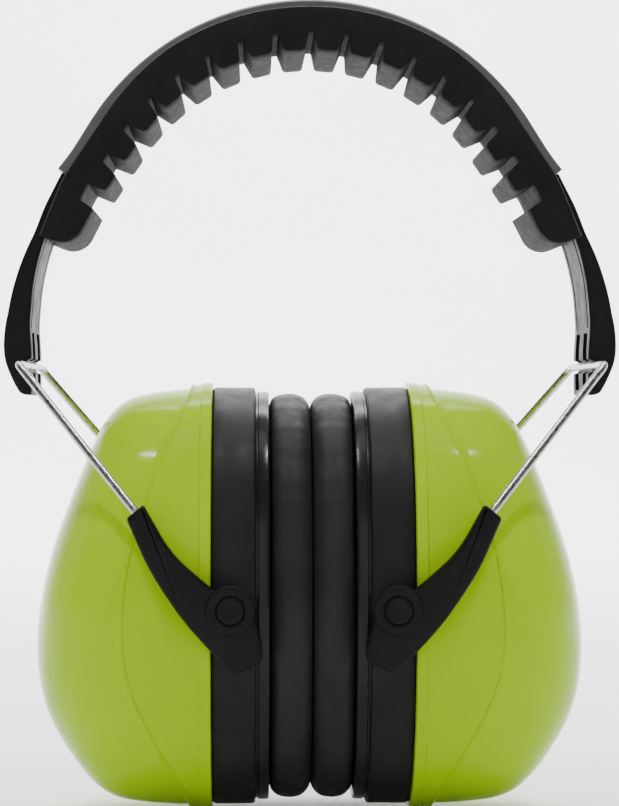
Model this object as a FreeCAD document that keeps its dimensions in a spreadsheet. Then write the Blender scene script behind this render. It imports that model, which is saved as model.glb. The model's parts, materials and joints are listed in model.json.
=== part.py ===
import FreeCAD, Part
import math
import os
import Sketcher

# Earmuff hearing protector in millimetres. +Z is up, +X is the wearer's left-to-right direction seen
# from the front, and the origin is the point under the crown where the head pad rests on the head.

os.makedirs("parts", exist_ok=True)
Vector = FreeCAD.Vector
document = FreeCAD.newDocument("earmuff")

DIMENSIONS = {
    # headband, measured inward from the outer line of the cover
    "band_radius": 64.2,
    "band_depth": 14.1,
    "cover_width": 28.0,
    "cover_skin": 1.8,
    "cover_depth": 4.6,
    "cover_wall": 1.6,
    "cover_arc_end": 58.0,
    "cover_tail": 14.0,
    "leaf_depth": 5.0,
    "leaf_thickness": 0.6,
    "leaf_width": 24.0,
    "leaf_arc_end": 56.0,
    "leaf_tail": 18.0,
    "leaf_tip": 15.4,
    "leaf_tip_turn": 12.0,
    "pad_width": 38.0,
    "pad_shoulder": 3.0,
    "pad_root": 9.6,
    "pad_groove_gap": 0.3,
    "tooth_pitch": 9.2,
    "tooth_width": 6.0,
    "tooth_count": 16,
    "end_block_start": 3.9,
    "end_block_depth": 12.6,
    "end_block_corner": 3.6,
    "spacer_angle": 17.5,
    "spacer_radius": 4.0,
    "spacer_gap": 0.15,
    # telescopic arm
    "slide_angle": 36.0,
    "arm_angle": 27.5,
    "arm_width": 28.0,
    "arm_start_x": 59.1,
    "arm_start_z": -28.0,
    "tongue_width": 22.0,
    "tongue_thickness": 1.3,
    "tongue_length": 30.6,
    "arm_bend_radius": 63.0,
    "clip_width": 16.0,
    "clip_length": 8.0,
    "clip_thickness": 0.5,
    "clip_depth": 1.95,
    # wire stirrup and its hinge in the arm
    "hinge_x": 69.6,
    "hinge_z": -76.3,
    "wire_radius": 1.0,
    "wire_clearance": 0.06,
    "bar_half": 30.0,
    "bar_bend": 3.5,
    "leg_bend": 10.0,
    "leg_length": 44.6,
    "leg_socket": 6.0,
    "socket_out": 21.9,
    "socket_up": 22.7,
    # cup pivot
    "pivot_x": 19.4,
    "pivot_z": -133.1,
    "pin_radius": 2.0,
    "pin_clearance": 0.05,
    "pin_head_radius": 3.1,
    "pin_head_thickness": 1.4,
    "pin_end_y": 35.5,
    "holder_inner_y": 43.4,
    "holder_thickness": 5.2,
    # cup, measured outward from the plane where the cushions meet
    "cushion_face": 0.3,
    "plate_face": 10.2,
    "base_face": 13.5,
    "shell_face": 24.0,
    "cup_half_z": 52.2,
    "cup_half_y": 42.3,
    "shell_wall": 2.4,
    "base_half_z": 51.4,
    "base_half_y": 41.6,
    "base_open_z": 31.0,
    "base_open_y": 21.0,
    "base_wall": 2.4,
    "base_floor": 3.0,
    "plate_half_z": 50.6,
    "plate_half_y": 40.8,
    "plate_open_z": 33.0,
    "plate_open_y": 23.0,
    "cushion_half_z": 50.4,
    "cushion_half_y": 40.6,
    "cushion_open_z": 29.0,
    "cushion_open_y": 19.0,
    "foam_half_z": 41.0,
    "foam_half_y": 33.0,
    "foam_depth": 20.0,
    "disc_half_z": 30.6,
    "disc_half_y": 20.6,
    "disc_thickness": 2.0,
}

# Sections of the shell: how far along from its mouth to its crown, then the lowest and highest Z from
# the cup's middle and the half-width in Y, as shares of the mouth's own half-height and half-width.
SHELL_CROWN_X = 67.6
SHELL_SECTIONS = (
    (0.00, -1.000, 1.000, 1.000),
    (0.25, -0.997, 0.984, 0.990),
    (0.48, -0.980, 0.950, 0.957),
    (0.60, -0.946, 0.870, 0.910),
    (0.71, -0.862, 0.672, 0.827),
    (0.82, -0.730, 0.440, 0.700),
    (0.92, -0.590, 0.200, 0.465),
    (0.98, -0.420, -0.030, 0.225),
    (1.00, -0.320, -0.130, 0.105),
)

sheet = document.addObject("Spreadsheet::Sheet", "Dimensions")
for row, (alias, value) in enumerate(DIMENSIONS.items(), start=1):
    sheet.set(f"A{row}", alias)
    sheet.set(f"B{row}", str(value))
    sheet.setAlias(f"B{row}", alias)
document.recompute()


def dim(alias):
    """Value of one driving dimension, read from the sheet."""
    return float(sheet.get(alias))


def cell(alias):
    """Name of one driving dimension, as expressions write it."""
    return f"Dimensions.{alias}"


def polar(radius, degrees, side=1):
    """Point in the XZ plane at an angle from straight up about the band's centre."""
    angle = math.radians(degrees)
    return (side * radius * math.sin(angle), band_centre_z + radius * math.cos(angle))


def step(point, length, degrees, side=1):
    """Point reached by going down and outward, at an angle from vertical."""
    angle = math.radians(degrees)
    return (point[0] + side * length * math.sin(angle), point[1] - length * math.cos(angle))


band_centre_z = dim("band_depth") - dim("band_radius")
cup_middle_z = dim("pivot_z")
SIDES = (("left", -1), ("right", 1))
nodes = []


def new_body(label):
    body = document.addObject("PartDesign::Body", label)
    body.Label = label
    nodes.append(body)
    return body


def new_sketch(body, role, name):
    """Empty sketch on one of the body's own origin planes."""
    plane = next(item for item in body.Origin.OriginFeatures if item.Role == role)
    sketch = body.newObject("Sketcher::SketchObject", f"{body.Label}_{name}")
    sketch.AttachmentSupport = [(plane, "")]
    sketch.MapMode = "FlatFace"
    return sketch


def extrude_both_ways(body, sketch, kind, width_expression):
    """Pad or pocket that runs the same distance each side of the sketch plane."""
    feature = body.newObject(f"PartDesign::{kind}", f"{sketch.Name}_{kind.lower()}")
    feature.Profile = sketch
    feature.Midplane = True
    feature.setExpression("Length", width_expression)
    sketch.Visibility = False
    return feature


def add_segment(sketch, start, end):
    sketch.addGeometry(Part.LineSegment(Vector(*start, 0), Vector(*end, 0)), False)


def add_arc(sketch, start, middle, end):
    sketch.addGeometry(Part.Arc(Vector(*start, 0), Vector(*middle, 0), Vector(*end, 0)), False)


def add_loop(sketch, points):
    """Closed outline of straight edges through the points."""
    for start, end in zip(points, points[1:] + points[:1]):
        add_segment(sketch, start, end)


def tail_points(depth, arc_end, lengths, turns, side):
    """Points of a band line beyond its arc: straight runs, each turned from the one before."""
    heading = 90 - arc_end
    radius = dim("band_radius") - depth
    outer = [polar(dim("band_radius"), arc_end)]
    headings = [heading]
    for length, turn in zip(lengths, turns):
        outer.append(step(outer[-1], length, headings[-1]))
        headings.append(headings[-1] - turn)
    points = [polar(radius, arc_end)]
    for index, point in enumerate(outer[1:], start=1):
        before = math.radians(headings[index - 1])
        after = math.radians(headings[index] if index < len(outer) - 1 else headings[index - 1])
        mitre = depth / math.cos((after - before) / 2)
        middle = (before + after) / 2
        points.append((point[0] - mitre * math.cos(middle), point[1] - mitre * math.sin(middle)))
    return [(side * x, z) for x, z in points]


def draw_strip(sketch, outer_depth, inner_depth, arc_end, lengths, turns):
    """Outline of a band layer between two depths: an arc over the crown with straight tails."""
    for depth in (outer_depth, inner_depth):
        right = tail_points(depth, arc_end, lengths, turns, 1)
        left = tail_points(depth, arc_end, lengths, turns, -1)
        crown = polar(dim("band_radius") - depth, 0)
        add_arc(sketch, left[0], crown, right[0])
        for tail in (left, right):
            for start, end in zip(tail, tail[1:]):
                add_segment(sketch, start, end)
    for side in (-1, 1):
        add_segment(
            sketch,
            tail_points(outer_depth, arc_end, lengths, turns, side)[-1],
            tail_points(inner_depth, arc_end, lengths, turns, side)[-1],
        )


def build_cover():
    """Moulded channel over the band: a skin with a wall down each edge and open ends."""
    body = new_body("headband_cover")
    tail = ([dim("cover_tail")], [0])
    outline = new_sketch(body, "XZ_Plane", "outline")
    draw_strip(outline, 0, dim("cover_depth"), dim("cover_arc_end"), *tail)
    extrude_both_ways(body, outline, "Pad", cell("cover_width"))
    channel = new_sketch(body, "XZ_Plane", "channel")
    overrun = 1.0
    longer = ([dim("cover_tail") + overrun], [0])
    draw_strip(channel, dim("cover_skin"), dim("cover_depth") + overrun, dim("cover_arc_end"), *longer)
    extrude_both_ways(body, channel, "Pocket", f"{cell('cover_width')} - 2 * {cell('cover_wall')}")
    return body


def leaf_tail():
    return ([dim("leaf_tail"), dim("leaf_tip")], [dim("leaf_tip_turn"), 0])


def build_leaf():
    """Flat steel spring that gives the clamping force, kinked inward near each end."""
    body = new_body("leaf_spring")
    outline = new_sketch(body, "XZ_Plane", "outline")
    inner = dim("leaf_depth") + dim("leaf_thickness")
    draw_strip(outline, dim("leaf_depth"), inner, dim("leaf_arc_end"), *leaf_tail())
    extrude_both_ways(body, outline, "Pad", cell("leaf_width"))
    return body


def pad_tip_point(along, inward, side):
    """Point in the turned end of the pad: distance along it, and depth inward from the band's outer line."""
    heading = 90 - dim("leaf_arc_end")
    tail_end = step(polar(dim("band_radius"), dim("leaf_arc_end")), dim("leaf_tail"), heading)
    x, z = step(tail_end, along, heading - dim("leaf_tip_turn"))
    turn = math.radians(heading - dim("leaf_tip_turn"))
    return (side * (x - inward * math.cos(turn)), z - inward * math.sin(turn))


def build_pad():
    """Soft head pad: a curved bar with a groove that takes the cover and leaf, and cross ribs inside."""
    body = new_body("headband_pad")
    outline = new_sketch(body, "XZ_Plane", "outline")
    draw_strip(outline, dim("pad_shoulder"), dim("pad_root"), dim("leaf_arc_end"), *leaf_tail())
    extrude_both_ways(body, outline, "Pad", cell("pad_width"))
    groove = new_sketch(body, "XZ_Plane", "groove")
    overrun = 2.0
    longer = ([dim("leaf_tail"), dim("leaf_tip") + overrun], [dim("leaf_tip_turn"), 0])
    floor = dim("leaf_depth") + dim("leaf_thickness")
    draw_strip(groove, dim("pad_shoulder") - overrun, floor, dim("leaf_arc_end"), *longer)
    extrude_both_ways(body, groove, "Pocket", f"{cell('cover_width')} + 2 * {cell('pad_groove_gap')}")
    document.recompute()
    tooth = new_sketch(body, "XZ_Plane", "tooth")
    tooth.AttachmentOffset = FreeCAD.Placement(Vector(0, band_centre_z, 0), FreeCAD.Rotation())
    root_radius = dim("band_radius") - dim("leaf_depth") - dim("leaf_thickness") - 0.3
    tip_radius = dim("band_radius") - dim("band_depth")
    first = dim("tooth_pitch") * (dim("tooth_count") - 1) / 2
    half_root = math.degrees(dim("tooth_width") / 2 / tip_radius)
    half_tip = half_root * 0.8
    corners = [
        (root_radius, first - half_root),
        (tip_radius, first - half_tip),
        (tip_radius, first + half_tip),
        (root_radius, first + half_root),
    ]
    add_loop(tooth, [(x, z - band_centre_z) for x, z in (polar(*corner) for corner in corners)])
    rib = extrude_both_ways(body, tooth, "Pad", cell("pad_width"))
    document.recompute()
    ribs = body.newObject("PartDesign::PolarPattern", "headband_pad_ribs")
    ribs.Originals = [rib]
    ribs.Axis = (tooth, ["N_Axis"])
    ribs.setExpression("Angle", f"{cell('tooth_pitch')} * ({cell('tooth_count')} - 1)")
    ribs.setExpression("Occurrences", cell("tooth_count"))
    body.Tip = ribs
    document.recompute()
    block = new_sketch(body, "XZ_Plane", "end_blocks")
    start, end = dim("end_block_start"), dim("leaf_tip")
    depth, chamfer = dim("end_block_depth"), dim("end_block_corner")
    under = dim("pad_root") - 1
    corners = [(start, under), (start + 0.8, depth), (end - chamfer, depth), (end, depth - chamfer), (end, under)]
    for side in (-1, 1):
        add_loop(block, [pad_tip_point(along, inward, side) for along, inward in corners])
    extrude_both_ways(body, block, "Pad", cell("pad_width"))


def build_spacer(label, side):
    """Round stud that holds the leaf off the cover, which leaves the channel the arms slide in."""
    spacer = document.addObject("Part::Cylinder", f"leaf_spacer_{label}")
    spacer.Label = f"leaf_spacer_{label}"
    spacer.setExpression("Radius", cell("spacer_radius"))
    gap = cell("spacer_gap")
    spacer.setExpression("Height", f"{cell('leaf_depth')} - {cell('cover_skin')} - 4 * {gap}")
    x, z = polar(dim("band_radius") - dim("leaf_depth") + 2 * dim("spacer_gap"), dim("spacer_angle"), side)
    tilt = FreeCAD.Rotation(Vector(0, 1, 0), side * dim("spacer_angle"))
    spacer.Placement = FreeCAD.Placement(Vector(x, 0, z), tilt)
    nodes.append(spacer)


def build_clip(label, side):
    """Flat detent clip inside the cover's end that grips the arm's tongue."""
    clip = document.addObject("Part::Box", f"slider_clip_{label}")
    clip.Label = f"slider_clip_{label}"
    clip.setExpression("Length", cell("clip_thickness"))
    clip.setExpression("Width", cell("clip_width"))
    clip.setExpression("Height", cell("clip_length"))
    heading = 90 - dim("cover_arc_end")
    turn = FreeCAD.Rotation(Vector(0, 1, 0), side * -heading)
    x, z = polar(dim("band_radius") - dim("clip_depth"), dim("cover_arc_end"), side)
    inward = -dim("clip_thickness") if side > 0 else 0
    corner = turn.multVec(Vector(inward, -dim("clip_width") / 2, -dim("clip_length")))
    clip.Placement = FreeCAD.Placement(Vector(x, 0, z) + corner, turn)
    nodes.append(clip)


ARM_STRAIGHT = 18.2
# Lower end of the arm round the wire hinge: offsets outward and up from it, from the outer side round.
ARM_FOOT = (
    (5.2, 4.4), (4.9, 2.0), (3.9, -1.2), (2.3, -4.7), (1.2, -6.6), (-0.4, -7.1), (-1.7, -7.2), (-2.5, -3.4),
    (-2.5, 1.2), (-1.7, 4.5),
)
# Thickness of the arm's bent part, inward from its outer line, at headings in degrees from vertical.
ARM_THICKNESS = ((7, 5.8), (14, 5.0), (22, 3.9))
ARM_START_THICKNESS = 2.5
# Where the full-width part of the arm begins, on its outer and inner side, just clear of the cover. Its
# outer side stands proud of the outer line down to where the bulge ends.
ARM_SHOULDER_OUTER, ARM_SHOULDER_INNER = 1.7, 1.8
ARM_BULGE, ARM_BULGE_END = 0.8, 11.0
ARM_BEND_END = 3.0


def arm_point(along, inward, side):
    """Point on the arm: distance down from the cover's end, and depth inward from its outer line."""
    angle = math.radians(dim("arm_angle") if along > 0 else dim("slide_angle"))
    x = dim("arm_start_x") + along * math.sin(angle) - inward * math.cos(angle)
    z = dim("arm_start_z") - along * math.cos(angle) - inward * math.sin(angle)
    return (side * x, z)


def arm_bend_point(degrees, inward, side):
    """Point on the bent part of the arm, at a heading from vertical."""
    start = arm_point(ARM_STRAIGHT, 0, 1)
    first = math.radians(dim("arm_angle"))
    centre = (
        start[0] - dim("arm_bend_radius") * math.cos(first),
        start[1] - dim("arm_bend_radius") * math.sin(first),
    )
    angle = math.radians(degrees)
    radius = dim("arm_bend_radius") - inward
    return (side * (centre[0] + radius * math.cos(angle)), centre[1] + radius * math.sin(angle))


def build_arm(label, side):
    """Telescopic arm: a thin tongue that slides in the band, and a bent lower part that holds the wire."""
    body = new_body(f"arm_{label}")
    hinge = (side * dim("hinge_x"), dim("hinge_z"))
    lower = new_sketch(body, "XZ_Plane", "lower")
    thin = dim("tongue_thickness")
    foot = [(hinge[0] + side * outward, hinge[1] + up) for outward, up in ARM_FOOT]
    points = [
        arm_point(ARM_SHOULDER_OUTER, -ARM_BULGE, side),
        arm_point(ARM_BULGE_END, -ARM_BULGE, side),
        arm_point(ARM_STRAIGHT, 0, side),
        arm_bend_point(ARM_BEND_END, 0, side),
        *foot,
        *(arm_bend_point(heading, thickness, side) for heading, thickness in ARM_THICKNESS),
        arm_point(ARM_STRAIGHT, ARM_START_THICKNESS, side),
        arm_point(ARM_SHOULDER_INNER, thin, side),
    ]
    add_segment(lower, points[0], points[1])
    add_segment(lower, points[1], points[2])
    add_arc(lower, points[2], arm_bend_point((dim("arm_angle") + ARM_BEND_END) / 2, 0, side), points[3])
    for start, end in zip(points[3:], points[4:] + points[:1]):
        add_segment(lower, start, end)
    extrude_both_ways(body, lower, "Pad", cell("arm_width"))
    document.recompute()
    tongue = new_sketch(body, "XZ_Plane", "tongue")
    top = -dim("tongue_length")
    root = ARM_SHOULDER_INNER + 1.2
    corners = [(top, 0), (0, 0), (root, 0), (root, thin), (0, thin), (top, thin)]
    add_loop(tongue, [arm_point(along, inward, side) for along, inward in corners])
    extrude_both_ways(body, tongue, "Pad", cell("tongue_width"))
    bore = new_sketch(body, "XZ_Plane", "bore")
    bore.addGeometry(Part.Circle(Vector(*hinge, 0), Vector(0, 0, 1), dim("wire_radius")), False)
    radius = bore.addConstraint(Sketcher.Constraint("Radius", 0, dim("wire_radius")))
    bore.setExpression(f"Constraints[{radius}]", f"{cell('wire_radius')} + {cell('wire_clearance')}")
    extrude_both_ways(body, bore, "Pocket", f"{cell('arm_width')} + 2")
    return body


def rounded_path(points, radii):
    """Wire of straight runs joined by tangent arcs of the given radii at the inner points."""
    edges = []
    start = points[0]
    for before, corner, after, radius in zip(points, points[1:], points[2:], radii):
        incoming = (corner - before).normalize()
        outgoing = (after - corner).normalize()
        half_turn = incoming.getAngle(outgoing) / 2
        reach = radius * math.tan(half_turn)
        first = corner - incoming * reach
        last = corner + outgoing * reach
        bisector = (outgoing - incoming).normalize()
        middle = corner + bisector * (radius / math.cos(half_turn) - radius)
        edges.append(Part.makeLine(start, first))
        edges.append(Part.Arc(first, middle, last).toShape())
        start = last
    edges.append(Part.makeLine(start, points[-1]))
    return Part.Wire(edges)


def build_stirrup(label, side):
    """One bent steel wire: a bar through the arm and a leg down each side to a pivot holder."""
    hinge = Vector(side * dim("hinge_x"), 0, dim("hinge_z"))
    pivot = Vector(side * dim("pivot_x"), 0, dim("pivot_z"))
    socket = pivot + Vector(side * dim("socket_out"), 0, dim("socket_up"))
    down = (socket - hinge).normalize()
    socket_y = dim("holder_inner_y") + dim("holder_thickness") / 2
    route = []
    for front in (-1, 1):
        corner = hinge + Vector(0, front * dim("bar_half"), 0)
        mouth = hinge + down * dim("leg_length") + Vector(0, front * socket_y, 0)
        end = mouth + down * dim("leg_socket")
        ordered = [end, mouth, corner]
        route += ordered if front < 0 else ordered[::-1]
    bends = [dim("leg_bend"), dim("bar_bend"), dim("bar_bend"), dim("leg_bend")]
    path = rounded_path(route, bends)
    section = Part.Wire([Part.makeCircle(dim("wire_radius"), route[0], route[1] - route[0])])
    stirrup = document.addObject("Part::Feature", f"wire_stirrup_{label}")
    stirrup.Label = f"wire_stirrup_{label}"
    stirrup.Shape = path.makePipeShell([section], True, False)
    nodes.append(stirrup)


# Corners of a pivot holder: towards the cushions and up, both measured from the pivot. The flat end
# between the last corner and the first takes the wire.
HOLDER_OUTLINE = (
    (-23.9, 21.1), (-18.6, 9.0), (-11.0, -2.3), (-4.8, -9.2), (0.3, -14.1), (1.8, -14.5), (7.4, -12.0),
    (7.4, -8.5), (5.8, -1.5), (4.2, 4.0), (0.0, 5.9), (-3.5, 4.2), (-4.8, 5.3), (-13.6, 12.9), (-20.0, 24.3),
)


def build_holder(label, side, front_name, front):
    """Plastic holder moulded on a wire end, with a bored boss that the pivot pin passes through."""
    body = new_body(f"pivot_holder_{front_name}_{label}")
    outline = new_sketch(body, "XZ_Plane", "outline")
    pivot_x, pivot_z = dim("pivot_x"), dim("pivot_z")
    add_loop(outline, [(side * (pivot_x - inward), pivot_z + up) for inward, up in HOLDER_OUTLINE])
    thickness = body.newObject("PartDesign::Pad", f"{body.Label}_plate")
    thickness.Profile = outline
    thickness.setExpression("Length", cell("holder_thickness"))
    away = dim("holder_inner_y")
    outline.AttachmentOffset = FreeCAD.Placement(Vector(0, 0, -front * away), FreeCAD.Rotation())
    thickness.Reversed = front > 0
    document.recompute()
    bore = new_sketch(body, "XZ_Plane", "bore")
    centre = Vector(side * dim("pivot_x"), dim("pivot_z"), 0)
    bore.addGeometry(Part.Circle(centre, Vector(0, 0, 1), dim("pin_radius")), False)
    radius = bore.addConstraint(Sketcher.Constraint("Radius", 0, dim("pin_radius")))
    bore.setExpression(f"Constraints[{radius}]", f"{cell('pin_radius')} + {cell('pin_clearance')}")
    extrude_both_ways(body, bore, "Pocket", f"2 * ({cell('holder_inner_y')} + {cell('holder_thickness')}) + 2")
    counterbore = new_sketch(body, "XZ_Plane", "counterbore")
    head_floor = dim("holder_inner_y") + dim("holder_thickness") - dim("pin_head_thickness") - 0.1
    counterbore.AttachmentOffset = FreeCAD.Placement(Vector(0, 0, -front * head_floor), FreeCAD.Rotation())
    counterbore.addGeometry(Part.Circle(centre, Vector(0, 0, 1), dim("pin_head_radius")), False)
    wide = counterbore.addConstraint(Sketcher.Constraint("Radius", 0, dim("pin_head_radius")))
    counterbore.setExpression(f"Constraints[{wide}]", f"{cell('pin_head_radius')} + 0.3")
    seat = body.newObject("PartDesign::Pocket", f"{body.Label}_seat")
    seat.Profile = counterbore
    seat.setExpression("Length", f"{cell('pin_head_thickness')} + 2")
    seat.Reversed = front < 0


def y_cylinder(name, radius_expression, length_expression, x, y, z, front):
    """Cylinder along Y that starts at y and runs away from the middle of the part."""
    cylinder = document.addObject("Part::Cylinder", name)
    cylinder.setExpression("Radius", radius_expression)
    cylinder.setExpression("Height", length_expression)
    turn = FreeCAD.Rotation(Vector(1, 0, 0), -90 * front)
    cylinder.Placement = FreeCAD.Placement(Vector(x, front * y, z), turn)
    return cylinder


def build_pin(label, side, front_name, front):
    """Pivot pin: a shank through holder and cup base, with a round head in the holder's seat."""
    name = f"pivot_pin_{front_name}_{label}"
    x, z = side * dim("pivot_x"), dim("pivot_z")
    outer = f"({cell('holder_inner_y')} + {cell('holder_thickness')})"
    shank_length = f"{outer} - {cell('pin_end_y')} - 1"
    shank = y_cylinder(f"{name}_shank", cell("pin_radius"), shank_length, x, dim("pin_end_y"), z, front)
    head_start = dim("holder_inner_y") + dim("holder_thickness") - dim("pin_head_thickness")
    head = y_cylinder(
        f"{name}_head", cell("pin_head_radius"), f"{cell('pin_head_thickness')} + 0.3", x, head_start, z, front
    )
    pin = document.addObject("Part::Fuse", name)
    pin.Label = name
    pin.Base = shank
    pin.Tool = head
    nodes.append(pin)


def oval(name, half_z, half_y, x, z=None):
    """Upright ellipse square to X. Its half-height and half-width are numbers or expressions."""
    ellipse = document.addObject("Part::Ellipse", name)
    for prop, size in (("MajorRadius", half_z), ("MinorRadius", half_y)):
        if isinstance(size, str):
            ellipse.setExpression(prop, size)
        else:
            setattr(ellipse, prop, size)
    upright = FreeCAD.Rotation(Vector(0, 0, 1), Vector(0, 1, 0), Vector(-1, 0, 0), "ZYX")
    height = cup_middle_z if z is None else z
    ellipse.Placement = FreeCAD.Placement(Vector(x, 0, height), upright)
    return ellipse


def oval_block(name, half_z, half_y, near, length_expression, side):
    """Solid of oval section from one distance outward from the cushion plane."""
    block = document.addObject("Part::Extrusion", name)
    block.Base = oval(f"{name}_outline", half_z, half_y, side * near)
    block.DirMode = "Custom"
    block.Dir = Vector(side, 0, 0)
    block.setExpression("LengthFwd", length_expression)
    block.Solid = True
    return block


def oval_ring(label, outer, opening, near, length_expression, side):
    """Oval block with an oval opening right through it."""
    ring = document.addObject("Part::Cut", label)
    ring.Label = label
    ring.Base = oval_block(f"{label}_outer", *outer, near, length_expression, side)
    ring.Tool = oval_block(f"{label}_opening", *opening, near - 1, f"{length_expression} + 2", side)
    return ring


def build_base(label, side):
    """Black ring that closes the shell, carries the cushion plate and takes the pivot pins."""
    name = f"cup_base_{label}"
    outer = (cell("base_half_z"), cell("base_half_y"))
    opening = (cell("base_open_z"), cell("base_open_y"))
    length = f"({cell('shell_face')} - {cell('base_face')})"
    base = oval_ring(f"{name}_ring", outer, opening, dim("base_face"), length, side)
    wall = cell("base_wall")
    pocket = oval_ring(
        f"{name}_pocket", [f"{size} - {wall}" for size in outer], [f"{size} + {wall}" for size in opening],
        dim("base_face") + dim("base_floor"), length, side,
    )
    tools = []
    for front in (-1, 1):
        bore_radius = f"{cell('pin_radius')} + {cell('pin_clearance')}"
        start = dim("pin_end_y") - 0.4
        bore_length = f"{cell('base_half_y')} - {start} + 2"
        tools.append(
            y_cylinder(
                f"{name}_bore_{front + 1}", bore_radius, bore_length,
                side * dim("pivot_x"), start, dim("pivot_z"), front,
            )
        )
    tools.append(pocket)
    for index, tool in enumerate(tools):
        last = index == len(tools) - 1
        cut = document.addObject("Part::Cut", name if last else f"{name}_cut_{index}")
        cut.Base = base
        cut.Tool = tool
        base = cut
    base.Label = name
    nodes.append(base)


def shell_loft(name, side, inset):
    """Solid through the shell's oval sections, drawn in by an inset all round."""
    start = dim("shell_face")
    sections = []
    for index, (share, low, high, half_y) in enumerate(SHELL_SECTIONS):
        x = start + share * (SHELL_CROWN_X - inset - start) - (0.5 if inset and share == 0 else 0)
        half_z = (high - low) / 2 * dim("cup_half_z") - inset
        middle = (high + low) / 2 * dim("cup_half_z")
        radii = (max(half_z, 1.0), max(half_y * dim("cup_half_y") - inset, 0.9))
        sections.append(oval(f"{name}_{index}", *radii, side * x, cup_middle_z + middle))
    loft = document.addObject("Part::Loft", name)
    loft.Sections = sections
    loft.Solid = True
    loft.Ruled = True
    return loft


def build_shell(label, side):
    """Domed outer shell, open towards the cup base, with an even wall."""
    name = f"cup_shell_{label}"
    shell = document.addObject("Part::Cut", name)
    shell.Label = name
    shell.Base = shell_loft(f"{name}_outside", side, 0)
    shell.Tool = shell_loft(f"{name}_inside", side, dim("shell_wall"))
    nodes.append(shell)


def build_cup_rings(label, side):
    plate = oval_ring(
        f"cushion_plate_{label}",
        (cell("plate_half_z"), cell("plate_half_y")),
        (cell("plate_open_z"), cell("plate_open_y")),
        dim("plate_face"), f"({cell('base_face')} - {cell('plate_face')})", side,
    )
    cushion = oval_ring(
        f"ear_cushion_{label}",
        (cell("cushion_half_z"), cell("cushion_half_y")),
        (cell("cushion_open_z"), cell("cushion_open_y")),
        dim("cushion_face"), f"({cell('plate_face')} - {cell('cushion_face')})", side,
    )
    nodes.extend([plate, cushion])


def build_foams(label, side):
    """Block of foam that fills the shell, and the thin disc that hides it from the ear."""
    start = dim("shell_face") + 2
    foam = oval_block(
        f"acoustic_foam_{label}", cell("foam_half_z"), cell("foam_half_y"), start, cell("foam_depth"), side
    )
    disc = oval_block(
        f"foam_disc_{label}", cell("disc_half_z"), cell("disc_half_y"),
        dim("shell_face") - dim("disc_thickness") - 1, cell("disc_thickness"), side,
    )
    for piece, name in ((foam, "acoustic_foam"), (disc, "foam_disc")):
        piece.Label = f"{name}_{label}"
        nodes.append(piece)


def check_and_write():
    """Stop on any failed object, then write each sub-part to its own STEP file."""
    document.recompute()
    for item in document.Objects:
        if "Invalid" in item.State or "Error" in item.State:
            raise RuntimeError(f"{item.Label} did not recompute: {item.State}")
    for node in nodes:
        shape = node.Shape
        if shape.isNull() or not shape.isValid() or not shape.Solids:
            raise RuntimeError(f"{node.Label} has no valid solid")
        box = shape.BoundBox
        print(
            f"{node.Label}: {len(shape.Solids)} solid, {shape.Volume:.0f} mm3, "
            f"x {box.XMin:.1f} {box.XMax:.1f}, y {box.YMin:.1f} {box.YMax:.1f}, "
            f"z {box.ZMin:.1f} {box.ZMax:.1f}"
        )
        shape.exportStep(f"parts/{node.Label}.step")


build_cover()
build_leaf()
build_pad()
for side_label, side_sign in SIDES:
    build_spacer(side_label, side_sign)
    build_clip(side_label, side_sign)
    build_arm(side_label, side_sign)
    build_stirrup(side_label, side_sign)
    for front_label, front_sign in (("front", -1), ("back", 1)):
        build_holder(side_label, side_sign, front_label, front_sign)
        build_pin(side_label, side_sign, front_label, front_sign)
    build_base(side_label, side_sign)
    build_shell(side_label, side_sign)
    build_cup_rings(side_label, side_sign)
    build_foams(side_label, side_sign)
check_and_write()
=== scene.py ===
import json
import math

import bmesh
import bpy
import numpy as np
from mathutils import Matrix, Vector


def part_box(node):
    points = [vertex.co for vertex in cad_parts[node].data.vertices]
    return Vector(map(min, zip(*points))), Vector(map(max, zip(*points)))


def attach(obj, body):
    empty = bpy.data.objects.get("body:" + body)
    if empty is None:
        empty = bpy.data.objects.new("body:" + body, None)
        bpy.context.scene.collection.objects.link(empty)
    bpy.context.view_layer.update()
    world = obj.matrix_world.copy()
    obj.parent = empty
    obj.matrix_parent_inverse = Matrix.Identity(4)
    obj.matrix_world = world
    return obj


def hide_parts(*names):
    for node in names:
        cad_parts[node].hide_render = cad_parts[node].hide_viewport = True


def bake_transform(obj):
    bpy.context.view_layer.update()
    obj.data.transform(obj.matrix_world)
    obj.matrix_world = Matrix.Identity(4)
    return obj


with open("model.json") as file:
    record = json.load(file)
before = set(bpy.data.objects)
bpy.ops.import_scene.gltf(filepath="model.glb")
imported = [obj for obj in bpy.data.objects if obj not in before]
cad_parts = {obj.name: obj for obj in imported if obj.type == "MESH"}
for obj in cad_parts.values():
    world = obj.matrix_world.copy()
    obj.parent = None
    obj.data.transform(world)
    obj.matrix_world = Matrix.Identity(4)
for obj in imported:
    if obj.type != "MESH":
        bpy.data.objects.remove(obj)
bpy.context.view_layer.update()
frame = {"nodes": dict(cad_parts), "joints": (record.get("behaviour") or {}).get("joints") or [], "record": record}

# Earmuff hearing protector. Shapes are worked out in millimetres in the frame's axes and scaled on the way
# into a mesh. The right side is the one described; the left one is its mirror image.
MM = 0.001
SIDES = (("left", -1), ("right", 1))
JOINTS = {joint["name"]: joint for joint in frame["joints"]}


def joint_place(name):
    """Where a joint turns, in millimetres, on the XZ plane."""
    place = JOINTS[name]["pos_m"]
    return np.array([abs(place[0]), place[2]]) / MM


HINGE = joint_place("right_stirrup_fold")
PIVOT = joint_place("right_cup_level")

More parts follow.
